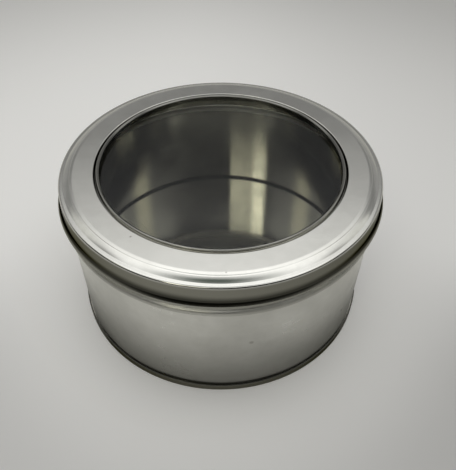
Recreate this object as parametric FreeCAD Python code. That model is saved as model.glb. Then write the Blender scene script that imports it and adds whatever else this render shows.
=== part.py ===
"""Round slip-lid tin of bare tinplate, closed, with a clear window let into its lid.

The model is in millimetres, +Z up, and its origin is the middle of the base that the tin stands on.
Four pieces, each one solid of revolution about Z:
    body        the side wall, with the rounded stop bead that runs just below the lid
    bottom_end  the floor, its upstand inside the wall, and the seam rolled round the wall's foot
    lid         the ring-shaped lid: rolled window rim, flat ring, sloped rim, skirt and rolled edge
    window      the disc of clear film under the lid's opening
"""
import FreeCAD, Part
import math
import os
from FreeCAD import Vector

# ---- driving dimensions: the whole tin ----
wall_radius = 60.7              # outside of the side wall
shoulder_height = 63.45         # height of the crease where the lid's sloped band meets its rim

# ---- tinplate and film ----
body_sheet = 0.25
end_sheet = 0.25
lid_sheet = 0.25
film_thickness = 0.3

# ---- body: the stop bead under the lid ----
stop_bead_drop = 4.9            # from the lid's lowest point down to the bead's crest
stop_bead_proud = 1.25          # how far the crest stands out from the wall
stop_bead_lean = 58.0           # degrees between the wall and each of the bead's two flanks
stop_bead_crest_bend = 1.4      # outside bend radius on the crest
stop_bead_foot_bend = 0.6       # outside bend radius where the bead leaves the wall

# ---- bottom end and its seam ----
floor_height = 7.0              # upper face of the floor above the base
floor_edge_bend = 1.0           # upper bend of the floor into its upstand
seam_height = 3.2
seam_thickness = 0.8            # folded layers outside the wall
seam_bend = 0.35                # rounding of the seam's two outer corners
base_inner_bend = 0.2           # rounding of the seam's inner lower corner

# ---- lid: skirt and rolled edge ----
lid_gap = 0.65                  # between the wall and the inside of the skirt at its top
skirt_taper = 0.45              # how much wider the skirt is where its flare starts
flare_drop = 6.3                # from the crease down to where the skirt starts to flare
lid_depth = 8.75                # from the crease down to the lid's lowest point
rolled_edge_size = 1.4          # outside diameter of the rolled edge
rolled_edge_proud = 1.1         # how far the rolled edge stands out from the foot of the skirt
flare_bend = 2.0
rim_bend = 1.0                  # rounded outer rim between the lid's top and its skirt

# ---- lid: top, from the rim inwards ----
rim_width = 1.75                # from the skirt's top to the crease
rim_drop = 0.15                 # fall of the rim's shoulder from the crease to the skirt's line
rim_crease_bend = 0.3
slope_width = 2.0               # sloped band above the crease
slope_drop = 0.9
slope_belly = 0.07              # how far the middle of the sloped band bulges above a straight line
slope_bend = 12.0
brow_width = 0.45               # gentler band between the slope and the fine step
brow_drop = 0.12
brow_bend = 2.0
step_width = 0.15               # fine step
step_drop = 0.1
step_bend = 0.35
fall_width = 1.0                # band where the flat ring starts to fall towards the step
fall_drop = 0.18
fall_bend = 3.0
ring_width = 7.75               # flat ring between that band and the groove

# ---- lid: groove and rolled rim round the window ----
groove_width = 1.0
groove_depth = 1.75             # below the flat ring
groove_shoulder_bend = 0.3
window_rim_width = 1.1          # rim that stands up round the opening
window_rim_height = 0.4         # above the flat ring
window_rim_fall_share = 0.5     # share of the rim's width that slopes down towards the opening
window_rim_fall_drop = 0.5
window_rim_bend = 0.3

# ---- window film ----
film_overlap = 3.0              # how far the film reaches under the lid from the opening's edge

# ---- clearances ----
lid_seat_clearance = 0.05       # between the wall's top edge and the lid that rests on it

# ---- sizes worked out from those above ----
wall_inner_radius = wall_radius - body_sheet
lid_radius = wall_radius + lid_gap + lid_sheet
rim_crease_radius = lid_radius - rim_width
brow_foot_radius = rim_crease_radius - slope_width
step_foot_radius = brow_foot_radius - brow_width
step_top_radius = step_foot_radius - step_width
ring_outer_radius = step_top_radius - fall_width
groove_outer_radius = ring_outer_radius - ring_width
groove_inner_radius = groove_outer_radius - groove_width
opening_radius = groove_inner_radius - window_rim_width
flare_height = shoulder_height - flare_drop
rolled_edge_bottom = shoulder_height - lid_depth
stop_bead_middle = rolled_edge_bottom - stop_bead_drop
brow_foot_height = shoulder_height + slope_drop
step_foot_height = brow_foot_height + brow_drop
step_top_height = step_foot_height + step_drop
ring_height = step_top_height + fall_drop
groove_floor_height = ring_height - groove_depth
film_top = groove_floor_height - lid_sheet


def bend_arc(before, corner, after, radius):
    """Arc that rounds a corner of a path: start, middle and end, each as (point, left-hand normal).

    A corner without a bend gives one point, with the mean of the two runs' normals.
    """
    toward = (corner - before).normalize()
    away = (after - corner).normalize()
    left_in = Vector(-toward.z, 0, toward.x)
    left_out = Vector(-away.z, 0, away.x)
    turn = math.atan2(toward.x * away.z - toward.z * away.x, toward.dot(away))
    side = math.copysign(1.0, turn)
    setback = radius * math.tan(abs(turn) / 2)
    start = corner - toward * setback
    end = corner + away * setback
    centre = start + left_in * (side * radius)
    outward = (corner - centre).normalize()
    middle = centre + outward * radius
    return [(start, left_in), (middle, outward * -side), (end, left_out)]


def path_bends(corners):
    """Bends of an open path given as (r, z) ends and (r, z, bend radius) corners."""
    points = [Vector(corner[0], 0, corner[1]) for corner in corners]
    bends = []
    for before, corner, after, sizes in zip(points, points[1:], points[2:], corners[1:]):
        bends.append(bend_arc(before, corner, after, sizes[2]))
    first_normal = bends[0][0][1]
    last_normal = bends[-1][2][1]
    return [[(points[0], first_normal)]] + bends + [[(points[-1], last_normal)]]


def skin_edges(bends, shift):
    """Lines and tangent arcs of a path, moved by shift towards its left-hand side."""
    edges = []
    last = None
    for bend in bends:
        moved = [point + normal * shift for point, normal in bend]
        if last is not None and (moved[0] - last).Length > 1e-6:
            edges.append(Part.makeLine(last, moved[0]))
        if len(moved) == 3:
            edges.append(Part.Arc(*moved).toShape())
        last = moved[-1]
    return edges


def revolved(edges):
    """Solid swept by a closed outline of the X-Z plane turned once about Z."""
    outline = Part.Wire(Part.__sortEdges__(edges))
    solid = Part.Face(outline).revolve(Vector(0, 0, 0), Vector(0, 0, 1), 360)
    return solid if solid.ShapeType == "Solid" else solid.Solids[0]


def sheet_ring(corners, thickness):
    """Sheet bent along a path of its outer skin; the metal lies on the path's right-hand side."""
    bends = path_bends(corners)
    outer = skin_edges(bends, 0.0)
    inner = skin_edges(bends, -thickness)
    ends = []
    for point, normal in (bends[0][0], bends[-1][0]):
        ends.append(Part.makeLine(point, point - normal * thickness))
    return revolved(outer + inner + ends)


def rounded_outline(corners):
    """Closed outline from (r, z, bend radius) corners; a bend of 0 leaves the corner sharp."""
    points = [Vector(corner[0], 0, corner[1]) for corner in corners]
    edges = []
    runs = []
    for index, (r, z, bend) in enumerate(corners):
        before = points[index - 1]
        after = points[(index + 1) % len(points)]
        if bend > 0:
            arc = [point for point, normal in bend_arc(before, points[index], after, bend)]
            edges.append(Part.Arc(*arc).toShape())
            runs.append((arc[0], arc[2]))
        else:
            runs.append((points[index], points[index]))
    for index, (start, end) in enumerate(runs):
        next_start = runs[(index + 1) % len(runs)][0]
        edges.append(Part.makeLine(end, next_start))
    return edges


def make_body():
    """Side wall from the seam's fold up to the lid, with the stop bead pressed outwards."""
    rim_slope = rim_drop / rim_width
    shoulder_above_wall = shoulder_height - rim_slope * (wall_radius - rim_crease_radius)
    lid_underside = shoulder_above_wall - lid_sheet * math.hypot(1, rim_slope)
    wall_top = lid_underside - lid_seat_clearance
    lean = math.radians(stop_bead_lean)
    crest_cut = stop_bead_crest_bend * (1 / math.cos(lean) - 1)
    bead_tip = wall_radius + stop_bead_proud + crest_cut
    bead_reach = (bead_tip - wall_radius) / math.tan(lean)
    corners = [
        (wall_radius, wall_top),
        (wall_radius, stop_bead_middle + bead_reach, stop_bead_foot_bend),
        (bead_tip, stop_bead_middle, stop_bead_crest_bend),
        (wall_radius, stop_bead_middle - bead_reach, stop_bead_foot_bend),
        (wall_radius, end_sheet),
    ]
    return sheet_ring(corners, body_sheet)


def make_bottom_end():
    """Floor with its upstand inside the wall, the fold under the wall's edge, and the seam outside."""
    upstand_inner = wall_inner_radius - end_sheet
    seam_radius = wall_radius + seam_thickness
    corners = [
        (0, floor_height, 0),
        (0, floor_height - end_sheet, 0),
        (upstand_inner, floor_height - end_sheet, floor_edge_bend - end_sheet),
        (upstand_inner, 0, base_inner_bend),
        (seam_radius, 0, seam_bend),
        (seam_radius, seam_height, seam_bend),
        (wall_radius, seam_height, 0),
        (wall_radius, end_sheet, 0),
        (wall_inner_radius, end_sheet, 0),
        (wall_inner_radius, floor_height, floor_edge_bend),
    ]
    return revolved(rounded_outline(corners))


def make_lid():
    """Lid ring from the window's edge outwards, over the rim and down the skirt to the rolled edge."""
    rim_top = ring_height + window_rim_height
    groove_bend = groove_width / 2
    slope_middle_radius = (rim_crease_radius + brow_foot_radius) / 2
    slope_middle_height = (shoulder_height + brow_foot_height) / 2 + slope_belly
    skirt_foot_radius = lid_radius + skirt_taper
    edge_outer = skirt_foot_radius + rolled_edge_proud
    edge_inner = edge_outer - rolled_edge_size
    edge_middle = rolled_edge_bottom + rolled_edge_size / 2
    edge_bend = 0.45 * rolled_edge_size
    flare_lean = math.atan2(rolled_edge_proud, flare_height - edge_middle)
    edge_shoulder = edge_middle + rolled_edge_size / 2 * math.tan(flare_lean / 2)
    corners = [
        (opening_radius, film_top),
        (opening_radius, rim_top - window_rim_fall_drop, window_rim_bend),
        (opening_radius + window_rim_fall_share * window_rim_width, rim_top, window_rim_bend),
        (groove_inner_radius, rim_top, window_rim_bend),
        (groove_inner_radius, groove_floor_height, groove_bend),
        (groove_outer_radius, groove_floor_height, groove_bend),
        (groove_outer_radius, ring_height, groove_shoulder_bend),
        (ring_outer_radius, ring_height, fall_bend),
        (step_top_radius, step_top_height, step_bend),
        (step_foot_radius, step_foot_height, step_bend),
        (brow_foot_radius, brow_foot_height, brow_bend),
        (slope_middle_radius, slope_middle_height, slope_bend),
        (rim_crease_radius, shoulder_height, rim_crease_bend),
        (lid_radius, shoulder_height - rim_drop, rim_bend),
        (skirt_foot_radius, flare_height, flare_bend),
        (edge_outer, edge_shoulder, edge_bend),
        (edge_outer, rolled_edge_bottom, edge_bend),
        (edge_inner, rolled_edge_bottom, edge_bend),
        (edge_inner, edge_middle + lid_sheet),
    ]
    return sheet_ring(corners, lid_sheet)


def make_window():
    """Flat disc of clear film against the underside of the lid's window rim."""
    return Part.makeCylinder(opening_radius + film_overlap, film_thickness,
                             Vector(0, 0, film_top - film_thickness))


parts = {
    "body": make_body,
    "bottom_end": make_bottom_end,
    "lid": make_lid,
    "window": make_window,
}

os.makedirs("parts", exist_ok=True)
for node, make in parts.items():
    shape = make()
    shape.exportStep("parts/" + node + ".step")
    box = shape.optimalBoundingBox()
    print(node, shape.ShapeType, shape.isValid(), "volume %.1f" % shape.Volume,
          "r %.2f z %.2f..%.2f" % (box.XMax, box.ZMin, box.ZMax))
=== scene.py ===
"""Round slip-lid tin of bare tinplate with a clear window in its lid, dressed for rendering.

Blender works in metres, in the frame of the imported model. Sizes, profiles and the places of dirt
and marks are written in millimetres. The front of the tin is -Y.
"""

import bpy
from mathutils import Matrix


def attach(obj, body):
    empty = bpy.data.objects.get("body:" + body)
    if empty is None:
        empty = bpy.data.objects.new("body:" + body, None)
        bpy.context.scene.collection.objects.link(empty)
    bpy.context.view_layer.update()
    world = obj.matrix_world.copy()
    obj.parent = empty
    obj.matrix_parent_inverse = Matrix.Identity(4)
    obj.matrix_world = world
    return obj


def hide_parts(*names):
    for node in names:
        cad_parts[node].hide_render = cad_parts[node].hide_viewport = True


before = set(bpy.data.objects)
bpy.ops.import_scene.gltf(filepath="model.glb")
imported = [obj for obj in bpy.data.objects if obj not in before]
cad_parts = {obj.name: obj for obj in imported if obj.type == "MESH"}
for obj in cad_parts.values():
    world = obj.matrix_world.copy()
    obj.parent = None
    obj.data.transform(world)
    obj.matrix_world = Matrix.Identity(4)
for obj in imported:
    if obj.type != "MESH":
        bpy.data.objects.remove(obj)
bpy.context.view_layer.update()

import math

import bpy
from mathutils import Matrix, Vector

MM = 0.001
SEGMENTS = 256          # round the tin; a multiple of four, so vertices lie on both axes
ARC_STEP = math.radians(9)
NEAR_ZERO = 1e-6
SHORTEST_SEGMENT = 1e-5

# ---- sizes in millimetres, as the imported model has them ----
WALL_RADIUS = 60.7
SHEET = 0.25
SHOULDER_HEIGHT = 63.45
BEAD_MIDDLE = 49.8
BEAD_PROUD = 1.25
BEAD_LEAN = math.radians(58)
BEAD_CREST_BEND = 1.4
BEAD_FOOT_BEND = 0.6
FLOOR_HEIGHT = 7.0
FLOOR_EDGE_BEND = 1.0
SEAM_HEIGHT = 3.2
SEAM_THICKNESS = 0.8
SEAM_BEND = 0.35
BASE_INNER_BEND = 0.2
LID_RADIUS = 61.6
SKIRT_FOOT_RADIUS = 62.05
FLARE_HEIGHT = 57.15
FLARE_BEND = 2.0
EDGE_BOTTOM = 54.7
EDGE_SIZE = 1.4
EDGE_PROUD = 1.1
EDGE_ROUNDING = 0.45      # bend of the rolled edge, as a share of its size
RIM_BEND = 1.0
RIM_DROP = 0.15
CREASE_RADIUS = 59.85
CREASE_BEND = 0.3
BROW_FOOT = (57.85, 64.35)
SLOPE_BELLY = 0.07
STEP_FOOT = (57.4, 64.47)
STEP_TOP = (57.25, 64.57)
RING_OUTER_RADIUS = 56.25
RING_HEIGHT = 64.75
GROOVE_OUTER_RADIUS = 48.5
GROOVE_INNER_RADIUS = 47.5
GROOVE_FLOOR = 63.0
OPENING_RADIUS = 46.4
WINDOW_RIM_TOP = 65.15
WINDOW_RIM_SHOULDER = 64.65
WINDOW_RIM_CREST_RADIUS = 46.95
WINDOW_RIM_BEND = 0.3
FILM_THICKNESS = 0.3
FILM_RADIUS = 49.4
FILM_TOP = GROOVE_FLOOR - SHEET
FILM_EDGE_BEND = 0.08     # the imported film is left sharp
LID_SEAT_CLEARANCE = 0.05
RING_EDGE_BEND = 0.3
RING_OUTER_BEND = 3.0
STEP_BEND = 0.35
BROW_BEND = 2.0
SLOPE_BEND = 12.0

# ---- colours of the metal, of its painted shade and olive tint, and of the film ----
# this near-black is mixed in as painted shade: in the groove, creases, seams, flare, on the inside and
# towards the foot
PAINTED_SHADE_DARK = (0.03, 0.029, 0.022, 1.0)
# olive tint; on the skirt and on the seam's side it also darkens them as painted shade
OLIVE = (0.245, 0.24, 0.195, 1.0)
METAL_EDGE_TINT = (0.95, 0.95, 0.93, 1.0)
WALL_PALE = (0.82, 0.815, 0.765, 1.0)
WALL_DULL = (0.73, 0.725, 0.675, 1.0)
END_PALE = (0.74, 0.725, 0.655, 1.0)
END_DULL = (0.64, 0.63, 0.56, 1.0)
LID_PALE = (0.76, 0.755, 0.71, 1.0)
LID_DULL = (0.69, 0.685, 0.64, 1.0)
FILM_COLOUR = (0.95, 0.96, 0.95, 1.0)
FILM_INDEX = 1.27         # of refraction; set low, so that the film's reflections stay faint

# ---- textures: cells per metre, and relief in metres ----
CLOUD_SCALE = 38.0
MOTTLE_SCALE = 210.0
SPECKLE_SCALE = 520.0
STREAK_SCALE = 14.0
METAL_RELIEF = 0.000012
FILM_RELIEF = 0.000004
HAZE_SCALE = 45.0
RIPPLE_SCALE = 22.0
FLOOR_GRAIN_SCALE = 900.0
FLOOR_RELIEF = 0.00002

# ---- rolling lines: they lie across the axis that is finest, and smear reflections along it ----
LEVEL_GRAIN = (1.0, 1.0, 26.0)
UPWARD = (0.0, 0.0, 1.0)
SIDEWAYS_GRAIN = (1.0, 24.0, 1.0)
BACKWARD = (0.0, 1.0, 0.0)
POLISH_SHARE = 0.65       # share of the roughness that a polish of 1 takes away

# ---- small dents and specks: place and reach in millimetres, then depth ----
WALL_MARKS = (
    ((11.55, -59.6, 30.7), 1.1, 2.6),
)
LID_MARKS = (
    ((2.45, -56.25, 64.7), 0.4, 1.6),
    ((-29.24, -41.22, 64.75), 0.5, 1.4),
)

# ---- light, floor and camera; places are in metres ----
LAMP_STRENGTH = 1.35
# grey level of the ceiling by the height of the direction, from level to straight up
CEILING = (
    (0.0, 0.20), (0.34, 0.25), (0.43, 0.17), (0.54, 0.17), (0.60, 0.25), (0.66, 0.42),
    (0.70, 0.60), (0.77, 0.68), (0.83, 0.88), (0.92, 1.0), (1.0, 1.0),
)
BACKGROUND = (0.33, 0.327, 0.314, 1.0)
DARK_FLANK = (0.05, 0.05, 0.048, 1.0)
SIDE_PANEL = (0.62, 0.62, 0.60, 1.0)
DARK_ROOM = (0.0075, 0.007, 0.0045, 1.0)
DIM = (0.02, 0.02, 0.018, 1.0)
OVERHEAD = (0.055, 0.07, 0.06, 1.0)
STRIP = (2.0, 1.95, 1.62, 1.0)
BAY = (0.52, 0.50, 0.41, 1.0)
FLOOR_REACH = 3.0         # from the middle to each edge
FLOOR_DROP = 0.02         # millimetres under the tin
# floor colours paint light: FLOOR_NEAR round the brightest spot fading to FLOOR_FAR; the floor also glows a
# little, painted light, though it is no lamp
FLOOR_NEAR = (0.95, 0.943, 0.925, 1.0)
FLOOR_FAR = (0.50, 0.496, 0.482, 1.0)
FLOOR_GLOW = 0.10
FLOOR_GLOW_COLOUR = (1.0, 0.985, 0.94, 1.0)
BRIGHTEST_SPOT = (-0.015, 0.05, 0.0)
CAMERA_PLACE = (0.00293, -0.16226, 0.18957)
CAMERA_PITCH = math.radians(45.62)
CAMERA_ROLL = math.radians(-0.53)
CAMERA_LENS = 40.35
SENSOR_WIDTH = 36.0


# ---- lathe work: a profile is a list of segments, each two points with their own outward normals ----
def bend(before, corner, after, radius):
    """Points and left-hand normals along the arc that rounds a corner of a path."""
    toward = (corner - before).normalized()
    away = (after - corner).normalized()
    turn = math.atan2(toward.x * away.y - toward.y * away.x, toward.dot(away))
    side = math.copysign(1.0, turn)
    start = corner - toward * (radius * math.tan(abs(turn) / 2))
    left = Vector((-toward.y, toward.x))
    centre = start + left * (side * radius)
    steps = max(2, math.ceil(abs(turn) / ARC_STEP))
    out = []
    for step in range(steps + 1):
        spin = Matrix.Rotation(turn * step / steps, 2)
        normal = spin @ left
        out.append((centre - normal * (side * radius), normal))
    return out


def path_points(corners):
    """Ends and rounded corners of an open path, as a list of (point, left-hand normal) runs."""
    points = [Vector(corner[:2]) for corner in corners]
    runs = []
    for index in range(1, len(points) - 1):
        radius = corners[index][2]
        runs.append(bend(points[index - 1], points[index], points[index + 1], radius))
    return [[(points[0], runs[0][0][1])]] + runs + [[(points[-1], runs[-1][-1][1])]]


def skin(runs, shift):
    """Segments of the path's skin, moved by shift to its left-hand side."""
    flat = [(point + normal * shift, normal) for run in runs for point, normal in run]
    segments = []
    for (a, na), (b, nb) in zip(flat, flat[1:]):
        if (b - a).length > SHORTEST_SEGMENT:
            segments.append((a, na, b, nb))
    return segments


def sheet_profile(corners, thickness):
    """Closed profile of sheet bent along its outer skin, the metal on the right-hand side."""
    runs = path_points(corners)
    outer = skin(runs, 0.0)
    inner = [(b, -nb, a, -na) for a, na, b, nb in reversed(skin(runs, -thickness))]
    ends = []
    for first, last in ((outer[-1], inner[0]), (inner[-1], outer[0])):
        a, b = first[2], last[0]
        along = (b - a).normalized()
        left = Vector((-along.y, along.x))
        ends.append((a, left, b, left))
    return outer + [ends[0]] + inner + [ends[1]]


def solid_profile(corners):
    """Profile of a turned solid from (r, z, bend) corners that run clockwise in the r-z plane."""
    points = [Vector(corner[:2]) for corner in corners]
    runs = []
    for index, corner in enumerate(corners):
        radius = corner[2]
        before = points[index - 1]
        after = points[(index + 1) % len(points)]
        if radius > 0:
            runs.append(bend(before, points[index], after, radius))
        else:
            runs.append([(points[index], None)])
    segments = []
    for index, run in enumerate(runs):
        for (a, na), (b, nb) in zip(run, run[1:]):
            segments.append((a, na, b, nb))
        a = run[-1][0]
        b = runs[(index + 1) % len(runs)][0][0]
        if a.x < NEAR_ZERO and b.x < NEAR_ZERO or (b - a).length < NEAR_ZERO:
            continue
        along = (b - a).normalized()
        left = Vector((-along.y, along.x))
        segments.append((a, left, b, left))
    return segments


def lathe(name, segments, node, material):
    """Mesh swept by a profile about Z, with the profile's own normals, standing for a CAD node."""
    keys = {}
    rings = []

    def ring_of(point):
        key = (round(point.x, 4), round(point.y, 4))
        if key not in keys:
            keys[key] = len(rings)
            rings.append(key)
        return keys[key]

    ends = [(ring_of(a), ring_of(b)) for a, na, b, nb in segments]
    verts = []
    first = []
    for r, z in rings:
        first.append(len(verts))
        if r < NEAR_ZERO:
            verts.append((0.0, 0.0, z * MM))
            continue
        for step in range(SEGMENTS):
            angle = 2 * math.pi * step / SEGMENTS
            verts.append((r * math.cos(angle) * MM, r * math.sin(angle) * MM, z * MM))
    faces = []
    normals = []
    for (low, high), (a, na, b, nb) in zip(ends, segments):
        for step in range(SEGMENTS):
            after = (step + 1) % SEGMENTS
            corners = []
            around = ((low, na, step), (high, nb, step), (high, nb, after), (low, na, after))
            for ring, normal, turn in around:
                axis = rings[ring][0] < NEAR_ZERO
                vertex = first[ring] + (0 if axis else turn)
                if corners and vertex == corners[-1][0] or corners and vertex == corners[0][0]:
                    continue
                angle = 2 * math.pi * (step + 0.5 if axis else turn) / SEGMENTS
                corners.append((vertex, (normal.x * math.cos(angle), normal.x * math.sin(angle), normal.y)))
            faces.append([vertex for vertex, normal in corners])
            normals.extend(normal for vertex, normal in corners)
    mesh = bpy.data.meshes.new(name)
    mesh.from_pydata(verts, [], faces)
    mesh.polygons.foreach_set("use_smooth", [True] * len(faces))
    mesh.update()
    mesh.normals_split_custom_set(normals)
    mesh.materials.append(material)
    piece = bpy.data.objects.new(name, mesh)
    bpy.context.scene.collection.objects.link(piece)
    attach(piece, "root")
    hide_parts(node)


# ---- node helpers ----
class Graph:
    """Short way to write shader nodes: most calls add a node or a few, and give the last one's output."""

    def __init__(self, tree):
        self.tree = tree
        tree.nodes.clear()

    def node(self, kind, **settings):
        made = self.tree.nodes.new(kind)
        for key, value in settings.items():
            setattr(made, key, value)
        return made

    def put(self, socket, value):
        if isinstance(value, bpy.types.NodeSocket):
            self.tree.links.new(value, socket)
        else:
            socket.default_value = value

    def math(self, operation, *values):
        made = self.node("ShaderNodeMath", operation=operation)
        for index, value in enumerate(values):
            self.put(made.inputs[index], value)
        return made.outputs[0]

    def times(self, value, *factors):
        for factor in factors:
            value = self.math("MULTIPLY", value, factor)
        return value

    def plus(self, value, *others):
        for other in others:
            value = self.math("ADD", value, other)
        return value

    def ease(self, value, low, high, start=0.0, end=1.0):
        """Smooth change from start to end as value goes from low to high."""
        made = self.node("ShaderNodeMapRange", interpolation_type="SMOOTHSTEP")
        for index, entry in enumerate((value, low, high, start, end)):
            self.put(made.inputs[index], entry)
        return made.outputs[0]

    def band(self, value, low, high, soft):
        """1 between low and high, 0 outside, with soft edges."""
        rise = self.ease(value, low - soft, low + soft)
        fall = self.ease(value, high - soft, high + soft, 1.0, 0.0)
        return self.times(rise, fall)

    def mix(self, factor, first, second):
        made = self.node("ShaderNodeMix", data_type="RGBA")
        self.put(made.inputs["Factor"], factor)
        self.put(made.inputs[6], first)
        self.put(made.inputs[7], second)
        return made.outputs[2]

    def noise(self, vector, scale, detail=2.0, roughness=0.5):
        made = self.node("ShaderNodeTexNoise")
        self.put(made.inputs["Vector"], vector)
        self.put(made.inputs["Scale"], scale)
        self.put(made.inputs["Detail"], detail)
        self.put(made.inputs["Roughness"], roughness)
        return made.outputs["Fac"]

    def ramp(self, value, stops):
        """Grey level read from straight runs between (position, level) stops."""
        made = self.node("ShaderNodeValToRGB")
        elements = made.color_ramp.elements
        while len(elements) < len(stops):
            elements.new(0.5)
        for element, (at, level) in zip(elements, stops):
            element.position = at
            element.color = (level, level, level, 1.0)
        self.put(made.inputs[0], value)
        return made.outputs["Color"]

    def coordinates(self, kind):
        return self.node("ShaderNodeTexCoord").outputs[kind]

    def stretched(self, vector, scale):
        made = self.node("ShaderNodeMapping")
        self.put(made.inputs["Vector"], vector)
        made.inputs["Scale"].default_value = scale
        return made.outputs["Vector"]

    def axes(self, vector):
        made = self.node("ShaderNodeSeparateXYZ")
        self.put(made.inputs[0], vector)
        return made.outputs

    def length(self, first, second):
        return self.math("SQRT", self.plus(self.times(first, first), self.times(second, second)))

    def distance(self, vector, place):
        made = self.node("ShaderNodeVectorMath", operation="DISTANCE")
        self.put(made.inputs[0], vector)
        made.inputs[1].default_value = place
        return made.outputs["Value"]

    def bump(self, height, distance):
        made = self.node("ShaderNodeBump")
        made.inputs["Strength"].default_value = 1.0
        made.inputs["Distance"].default_value = distance
        self.put(made.inputs["Height"], height)
        return made.outputs["Normal"]

    def finish(self, shader, kind="ShaderNodeOutputMaterial"):
        self.put(self.node(kind).inputs["Surface"], shader.outputs[0])


def material_graph(name):
    material = bpy.data.materials.new(name)
    material.use_nodes = True
    return material, Graph(material.node_tree)


# ---- materials ----
def tinplate(name, pale, dull, smooth, rough, grain, smear, stretch, marks, shade):
    """Satin bare tinplate: rolling grain along one axis, cloudy dulling, fine specks and small marks.

    The grain smears reflections along the direction smear, across the rolling lines, by the amount stretch.
    shade builds layers of (amount, colour), mostly painted shade, and a polish, which makes the metal
    smoother where it is above 0 and rougher where it is below, from the radius, the depth along Y and the
    height in millimetres.
    """
    material, g = material_graph(name)
    place = g.coordinates("Object")
    clouds = g.noise(place, CLOUD_SCALE, 4.0, 0.6)
    speckle = g.noise(place, SPECKLE_SCALE)
    streaks = g.noise(g.stretched(place, grain), STREAK_SCALE, 3.0, 0.65)
    cloudy = g.ease(clouds, 0.34, 0.68)
    mottle = g.ease(g.noise(place, MOTTLE_SCALE, 3.0, 0.6), 0.36, 0.64)
    tone = g.plus(g.times(cloudy, 0.45), g.times(streaks, 0.25), g.times(mottle, 0.3))
    colour = g.mix(tone, pale, dull)
    wear_and_painted_shade = g.plus(g.times(cloudy, 0.55), g.times(streaks, 0.45))
    roughness = g.ease(wear_and_painted_shade, 0.1, 0.9, smooth, rough)
    height = g.plus(g.times(streaks, 0.5), g.times(speckle, 0.1), g.times(clouds, 1.2))

    millimetres = g.stretched(place, (1 / MM, 1 / MM, 1 / MM))
    stain_colour = (dull[0] * 0.45, dull[1] * 0.42, dull[2] * 0.4, 1.0)
    for spot, reach, depth in marks:
        away = g.distance(millimetres, spot)
        height = g.math("SUBTRACT", height, g.ease(away, 0.0, reach, depth, 0.0))
        stain = g.ease(away, reach * 0.3, reach * 1.1, 0.5, 0.0)
        colour = g.mix(stain, colour, stain_colour)

    x, y, z = g.axes(millimetres)
    layers, polish = shade(g, g.length(x, y), y, z)
    edge_tint = METAL_EDGE_TINT
    # the layers, mostly painted shade, darken both the colour and the tint of grazing reflections
    for amount, layer in layers:
        colour = g.mix(amount, colour, layer)
        edge_tint = g.mix(amount, edge_tint, layer)
    roughness = g.times(roughness, g.math("SUBTRACT", 1.0, g.times(polish, POLISH_SHARE)))

    shader = g.node("ShaderNodeBsdfPrincipled")
    shader.inputs["Metallic"].default_value = 1.0
    shader.inputs["Anisotropic"].default_value = stretch
    tangent = g.node("ShaderNodeCombineXYZ")
    for socket, value in zip(tangent.inputs, smear):
        socket.default_value = value
    g.put(shader.inputs["Tangent"], tangent.outputs[0])
    g.put(shader.inputs["Base Color"], colour)
    g.put(shader.inputs["Specular Tint"], edge_tint)
    g.put(shader.inputs["Roughness"], roughness)
    g.put(shader.inputs["Normal"], g.bump(height, METAL_RELIEF))
    g.finish(shader)
    return material


def wall_shade(g, radius, depth, height):
    """Painted shade darkens the outside towards the foot and just above the bottom seam; the bead is a little
    darker and olive.

    The inside is a little darker, painted shade, more so in its corner over the floor, but smoother.
    """
    outside = g.ease(radius, WALL_RADIUS - 0.2, WALL_RADIUS - 0.05)
    inside = g.math("SUBTRACT", 1.0, outside)
    # painted shade: the outside darker towards the foot
    wear_and_painted_shade = g.times(g.ease(height, 0.0, BEAD_MIDDLE + 0.2, 0.66, 0.0), outside)
    # painted shade in the crease just above the bottom seam
    nip = g.times(g.ease(height, SEAM_HEIGHT + 0.2, SEAM_HEIGHT + 2.0, 0.8, 0.0), outside)
    # painted shade in the inside corner over the floor
    corner = g.times(g.ease(height, FLOOR_HEIGHT + 0.8, FLOOR_HEIGHT + 1.8, 0.8, 0.0), inside)
    bead = g.times(g.band(height, BEAD_MIDDLE - 2.0, BEAD_MIDDLE + 2.4, 0.6), outside)
    # the inside is darker by painted shade; the bead a little darker and olive
    layers = [
        (wear_and_painted_shade, PAINTED_SHADE_DARK),
        (g.times(inside, 0.22), PAINTED_SHADE_DARK),
        (nip, PAINTED_SHADE_DARK),
        (corner, PAINTED_SHADE_DARK),
        (g.times(bead, 0.35), OLIVE),
    ]
    return layers, g.math("SUBTRACT", g.times(inside, 1.2), 0.8)


def end_shade(g, radius, depth, height):
    """The floor is smoother than the wall; painted shade darkens it a little and more in its corner, and
    darkens the seam round the foot, olive on its side.
    """
    floor_edge = WALL_RADIUS - SHEET - FLOOR_EDGE_BEND
    inside = g.ease(radius, WALL_RADIUS - 0.2, WALL_RADIUS, 1.0, 0.0)
    inside = g.times(inside, g.ease(height, SEAM_HEIGHT + 0.1, SEAM_HEIGHT + 0.3))
    # painted shade in the inside corner of the floor
    corner = g.times(g.ease(radius, floor_edge - 0.35, floor_edge - 0.05, 0.0, 0.85), inside)
    # painted shade on the top of the seam round the foot; its side olive and darker, painted shade
    seam_top = g.ease(height, SEAM_HEIGHT - 0.6, SEAM_HEIGHT - 0.2)
    seam = g.times(g.ease(radius, WALL_RADIUS, WALL_RADIUS + 0.2), seam_top, 0.9)
    side = g.times(g.ease(radius, WALL_RADIUS + 0.5, WALL_RADIUS + 0.7), g.math("SUBTRACT", 1.0, seam_top))
    # the inside floor is a little darker by painted shade
    layers = [
        (g.times(inside, 0.16), PAINTED_SHADE_DARK),
        (corner, PAINTED_SHADE_DARK),
        (seam, PAINTED_SHADE_DARK),
        (g.times(side, 0.8), OLIVE),
        (g.times(side, 0.5), PAINTED_SHADE_DARK),
    ]
    return layers, inside


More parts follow.
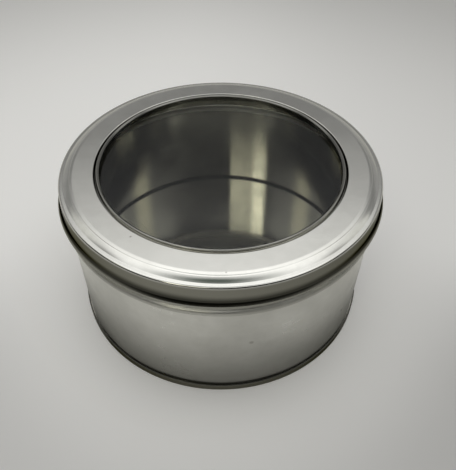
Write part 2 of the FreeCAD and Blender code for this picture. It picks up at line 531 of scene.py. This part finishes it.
def lid_shade(g, radius, depth, height):
    """Painted shade in the groove round the window, more in the middle than at the front and back, on the
    window rim and in the flare; the skirt olive and darker, partly painted shade.
    """
    # painted shade in the groove, stronger in the middle than at the front and back
    groove = g.band(radius, GROOVE_INNER_RADIUS - 0.05, GROOVE_OUTER_RADIUS + 0.1, 0.12)
    groove = g.times(groove, g.ease(height, RING_HEIGHT - 0.95, RING_HEIGHT - 0.25, 1.0, 0.0))
    groove = g.times(groove, g.ease(depth, -36.0, -6.0, 0.30, 0.93), g.ease(depth, 16.0, 42.0, 1.0, 0.5))
    # painted shade on the window rim
    rim = g.ease(radius, GROOVE_INNER_RADIUS - 0.3, GROOVE_INNER_RADIUS, 0.67, 0.0)
    outer = g.ease(radius, LID_RADIUS - 0.2, LID_RADIUS)
    rolled_edge = g.ease(height, EDGE_BOTTOM + 0.9, EDGE_BOTTOM + 1.7, 1.0, 0.0)
    # olive skirt, its darkening painted shade, a little less on the rolled edge
    skirt = g.ease(height, SHOULDER_HEIGHT - 1.25, SHOULDER_HEIGHT - 0.45, 0.88, 0.0)
    skirt = g.times(skirt, outer, g.ease(rolled_edge, 0.0, 1.0, 1.0, 0.75))
    # painted shade in the flare, above the rolled edge
    flare = g.ease(height, FLARE_HEIGHT - 0.35, FLARE_HEIGHT + 2.65, 0.85, 0.0)
    flare = g.times(flare, outer, g.ease(height, EDGE_BOTTOM + 1.2, EDGE_BOTTOM + 1.9))
    layers = [
        (groove, PAINTED_SHADE_DARK),
        (rim, PAINTED_SHADE_DARK),
        (skirt, OLIVE),
        (flare, PAINTED_SHADE_DARK),
    ]
    return layers, g.times(rolled_edge, -0.4)


def clear_film():
    """Thin clear plastic with the faint haze and ripple of a heat-cut disc."""
    material, g = material_graph("clear_film")
    place = g.coordinates("Object")
    haze = g.noise(place, HAZE_SCALE, 3.0)
    ripple = g.noise(place, RIPPLE_SCALE, 1.0)
    shader = g.node("ShaderNodeBsdfPrincipled")
    shader.inputs["Base Color"].default_value = FILM_COLOUR
    shader.inputs["IOR"].default_value = FILM_INDEX
    shader.inputs["Transmission Weight"].default_value = 1.0
    g.put(shader.inputs["Roughness"], g.ease(haze, 0.3, 0.8, 0.0, 0.006))
    g.put(shader.inputs["Normal"], g.bump(ripple, FILM_RELIEF))
    g.finish(shader)
    return material


# ---- the four pieces ----
def make_body(material):
    """Side wall of bent sheet with its stop bead, from just under the lid's rim down into the bottom seam."""
    rim_slope = RIM_DROP / (LID_RADIUS - CREASE_RADIUS)
    above_wall = SHOULDER_HEIGHT - rim_slope * (WALL_RADIUS - CREASE_RADIUS)
    wall_top = above_wall - SHEET * math.hypot(1, rim_slope) - LID_SEAT_CLEARANCE
    tip_proud = BEAD_PROUD + BEAD_CREST_BEND * (1 / math.cos(BEAD_LEAN) - 1)
    reach = tip_proud / math.tan(BEAD_LEAN)
    corners = [
        (WALL_RADIUS, wall_top),
        (WALL_RADIUS, BEAD_MIDDLE + reach, BEAD_FOOT_BEND),
        (WALL_RADIUS + tip_proud, BEAD_MIDDLE, BEAD_CREST_BEND),
        (WALL_RADIUS, BEAD_MIDDLE - reach, BEAD_FOOT_BEND),
        (WALL_RADIUS, SHEET),
    ]
    lathe("tin_body", sheet_profile(corners, SHEET), "body", material)


def make_bottom_end(material):
    """Raised floor, its upstand inside the wall and the seam rolled round the foot."""
    upstand = WALL_RADIUS - 2 * SHEET
    seam_radius = WALL_RADIUS + SEAM_THICKNESS
    corners = [
        (0, FLOOR_HEIGHT - SHEET, 0),
        (upstand, FLOOR_HEIGHT - SHEET, FLOOR_EDGE_BEND - SHEET),
        (upstand, 0, BASE_INNER_BEND),
        (seam_radius, 0, SEAM_BEND),
        (seam_radius, SEAM_HEIGHT, SEAM_BEND),
        (WALL_RADIUS, SEAM_HEIGHT, 0),
        (WALL_RADIUS, SHEET, 0),
        (WALL_RADIUS - SHEET, SHEET, 0),
        (WALL_RADIUS - SHEET, FLOOR_HEIGHT, FLOOR_EDGE_BEND),
        (0, FLOOR_HEIGHT, 0),
    ]
    profile = [(b, -nb, a, -na) for a, na, b, nb in reversed(solid_profile(corners))]
    lathe("tin_bottom_end", profile, "bottom_end", material)


def make_lid(material):
    """Ring of bent sheet, from the window's edge out to the rolled edge of the skirt."""
    edge_outer = SKIRT_FOOT_RADIUS + EDGE_PROUD
    edge_inner = edge_outer - EDGE_SIZE
    edge_middle = EDGE_BOTTOM + EDGE_SIZE / 2
    edge_bend = EDGE_ROUNDING * EDGE_SIZE
    groove_bend = (GROOVE_OUTER_RADIUS - GROOVE_INNER_RADIUS) / 2
    flare_lean = math.atan2(EDGE_PROUD, FLARE_HEIGHT - edge_middle)
    edge_shoulder = edge_middle + EDGE_SIZE / 2 * math.tan(flare_lean / 2)
    slope_middle = ((CREASE_RADIUS + BROW_FOOT[0]) / 2, (SHOULDER_HEIGHT + BROW_FOOT[1]) / 2 + SLOPE_BELLY)
    corners = [
        (OPENING_RADIUS, FILM_TOP),
        (OPENING_RADIUS, WINDOW_RIM_SHOULDER, WINDOW_RIM_BEND),
        (WINDOW_RIM_CREST_RADIUS, WINDOW_RIM_TOP, WINDOW_RIM_BEND),
        (GROOVE_INNER_RADIUS, WINDOW_RIM_TOP, WINDOW_RIM_BEND),
        (GROOVE_INNER_RADIUS, GROOVE_FLOOR, groove_bend),
        (GROOVE_OUTER_RADIUS, GROOVE_FLOOR, groove_bend),
        (GROOVE_OUTER_RADIUS, RING_HEIGHT, RING_EDGE_BEND),
        (RING_OUTER_RADIUS, RING_HEIGHT, RING_OUTER_BEND),
        (*STEP_TOP, STEP_BEND),
        (*STEP_FOOT, STEP_BEND),
        (*BROW_FOOT, BROW_BEND),
        (*slope_middle, SLOPE_BEND),
        (CREASE_RADIUS, SHOULDER_HEIGHT, CREASE_BEND),
        (LID_RADIUS, SHOULDER_HEIGHT - RIM_DROP, RIM_BEND),
        (SKIRT_FOOT_RADIUS, FLARE_HEIGHT, FLARE_BEND),
        (edge_outer, edge_shoulder, edge_bend),
        (edge_outer, EDGE_BOTTOM, edge_bend),
        (edge_inner, EDGE_BOTTOM, edge_bend),
        (edge_inner, edge_middle + SHEET),
    ]
    lathe("tin_lid", sheet_profile(corners, SHEET), "lid", material)


def make_window(material):
    """Flat disc of film under the lid's opening."""
    low = FILM_TOP - FILM_THICKNESS
    corners = [
        (0, FILM_TOP, 0),
        (FILM_RADIUS, FILM_TOP, FILM_EDGE_BEND),
        (FILM_RADIUS, low, FILM_EDGE_BEND),
        (0, low, 0),
    ]
    lathe("tin_window", solid_profile(corners), "window", material)


# ---- the tin ----
make_body(tinplate("tinplate_wall", WALL_PALE, WALL_DULL, smooth=0.17, rough=0.27, grain=LEVEL_GRAIN,
                   smear=UPWARD, stretch=0.8, marks=WALL_MARKS, shade=wall_shade))
make_bottom_end(tinplate("tinplate_end", END_PALE, END_DULL, smooth=0.16, rough=0.26, grain=SIDEWAYS_GRAIN,
                         smear=BACKWARD, stretch=0.8, marks=(), shade=end_shade))
make_lid(tinplate("tinplate_lid", LID_PALE, LID_DULL, smooth=0.12, rough=0.20, grain=SIDEWAYS_GRAIN,
                  smear=BACKWARD, stretch=0.35, marks=LID_MARKS, shade=lid_shade))
make_window(clear_film())


# ---- floor, light and camera ----
def make_floor():
    """Pale table top with painted light, brightest near the back of the tin, and painted shade a little
    darker in front and to the right.
    """
    edge = FLOOR_REACH
    mesh = bpy.data.meshes.new("floor")
    corners = [(-edge, -edge, 0), (edge, -edge, 0), (edge, edge, 0), (-edge, edge, 0)]
    mesh.from_pydata(corners, [], [(0, 1, 2, 3)])
    floor = bpy.data.objects.new("floor", mesh)
    floor.location.z = -FLOOR_DROP * MM
    bpy.context.scene.collection.objects.link(floor)
    material, g = material_graph("floor")
    place = g.coordinates("Object")
    x, y = g.axes(place)[:2]
    away = g.distance(place, BRIGHTEST_SPOT)
    # painted light: a pool of paler colour round the brightest spot, fading further off
    colour = g.mix(g.ease(away, 0.10, 0.40), FLOOR_NEAR, FLOOR_FAR)
    # painted shade in front of the tin and towards the right, fading far off
    in_front = g.times(g.ease(g.length(x, y), 0.066, 0.120), g.ease(y, -0.06, 0.02, 0.34, 0.0))
    shade = g.plus(in_front, g.ease(x, -0.05, 0.12, 0.0, 0.15))
    shade = g.times(shade, g.ease(away, 0.30, 0.60, 1.0, 0.0))
    shader = g.node("ShaderNodeBsdfPrincipled")
    shader.inputs["Roughness"].default_value = 0.6
    shader.inputs["Specular IOR Level"].default_value = 0.1
    # the floor glows faintly: painted light, though it is no lamp
    shader.inputs["Emission Color"].default_value = FLOOR_GLOW_COLOUR
    shader.inputs["Emission Strength"].default_value = FLOOR_GLOW
    g.put(shader.inputs["Base Color"], g.mix(shade, colour, DIM))
    g.put(shader.inputs["Normal"], g.bump(g.noise(place, FLOOR_GRAIN_SCALE, 3.0), FLOOR_RELIEF))
    g.finish(shader)
    mesh.materials.append(material)


def make_world():
    """Soft light from a bright ceiling over a dark room, pale low down all round.

    x, y and z are those of a direction of length 1, and azimuth is its angle from the front to the right.
    """
    world = bpy.data.worlds.new("studio")
    bpy.context.scene.world = world
    world.use_nodes = True
    g = Graph(world.node_tree)
    x, y, z = g.axes(g.coordinates("Generated"))
    side = g.math("ABSOLUTE", x)
    azimuth = g.math("ARCTAN2", x, g.times(y, -1.0))
    lit = g.ramp(z, CEILING)

    # dark on both sides below the ceiling, with a paler panel towards the back
    flank = g.times(g.ease(side, 0.50, 0.64), g.ease(z, 0.72, 0.80, 0.75, 0.0))
    flank = g.times(flank, g.ease(y, 0.06, 0.20, 1.0, 0.0))
    lit = g.mix(flank, lit, DARK_FLANK)
    panel = g.times(g.band(side, 0.55, 0.85, 0.06), g.band(y, 0.18, 0.44, 0.04), g.band(z, 0.48, 0.74, 0.03))
    lit = g.mix(g.times(panel, 0.85), lit, SIDE_PANEL)

    # dark room in front of the tin, which reaches round to its sides low down
    in_front = g.math("SUBTRACT", y, g.times(side, g.ease(z, 0.35, 0.60, 0.95, 0.35)))
    lit = g.mix(g.ease(in_front, -0.70, -0.52, 1.0, 0.0), lit, DARK_ROOM)
    low = g.times(g.ease(side, 0.35, 0.60), g.ease(z, 0.30, 0.45, 0.65, 0.0))
    low = g.times(low, g.ease(y, -0.15, 0.15, 1.0, 0.0))
    lit = g.mix(low, lit, DIM)

    # dim patch overhead, a little in front
    across = g.math("DIVIDE", g.plus(x, 0.03), 0.30)
    along = g.math("DIVIDE", g.plus(y, 0.20), 0.15)
    overhead = g.times(g.ease(g.length(across, along), 0.2, 2.2, 1.0, 0.0), g.ease(z, 0.5, 0.8))
    lit = g.mix(overhead, lit, OVERHEAD)

    # warm strip of light in front on the left, and a softer one on each side
    strip = g.times(g.band(azimuth, -0.68, -0.13, 0.025), g.band(z, 0.61, 0.76, 0.02))
    lit = g.mix(g.times(strip, g.ease(azimuth, -0.52, -0.46, 1.0, 0.42)), lit, STRIP)
    bay = g.times(g.band(g.math("ABSOLUTE", azimuth), 1.20, 1.45, 0.09), g.band(z, 0.60, 0.74, 0.03))
    lit = g.mix(g.times(bay, 0.9), lit, BAY)
    # pale background low down
    lit = g.mix(g.ease(z, 0.13, 0.22, 1.0, 0.0), lit, BACKGROUND)

    lamp = g.node("ShaderNodeBackground")
    g.put(lamp.inputs["Color"], lit)
    lamp.inputs["Strength"].default_value = LAMP_STRENGTH
    g.finish(lamp, "ShaderNodeOutputWorld")


def make_camera():
    """Looks down at the tin from in front, slightly rolled."""
    forward = Vector((0, math.cos(CAMERA_PITCH), -math.sin(CAMERA_PITCH)))
    level = Vector((1, 0, 0))
    down = forward.cross(level)
    right = level * math.cos(CAMERA_ROLL) + down * math.sin(CAMERA_ROLL)
    up = level * math.sin(CAMERA_ROLL) - down * math.cos(CAMERA_ROLL)
    data = bpy.data.cameras.new("camera")
    data.lens = CAMERA_LENS
    data.sensor_width = SENSOR_WIDTH
    camera = bpy.data.objects.new("camera", data)
    turn = Matrix((right, up, -forward)).transposed()
    camera.matrix_world = Matrix.Translation(CAMERA_PLACE) @ turn.to_4x4()
    bpy.context.scene.collection.objects.link(camera)
    bpy.context.scene.camera = camera


make_floor()
make_world()
make_camera()
bpy.context.scene.view_settings.view_transform = "Standard"

bpy.context.view_layer.update()
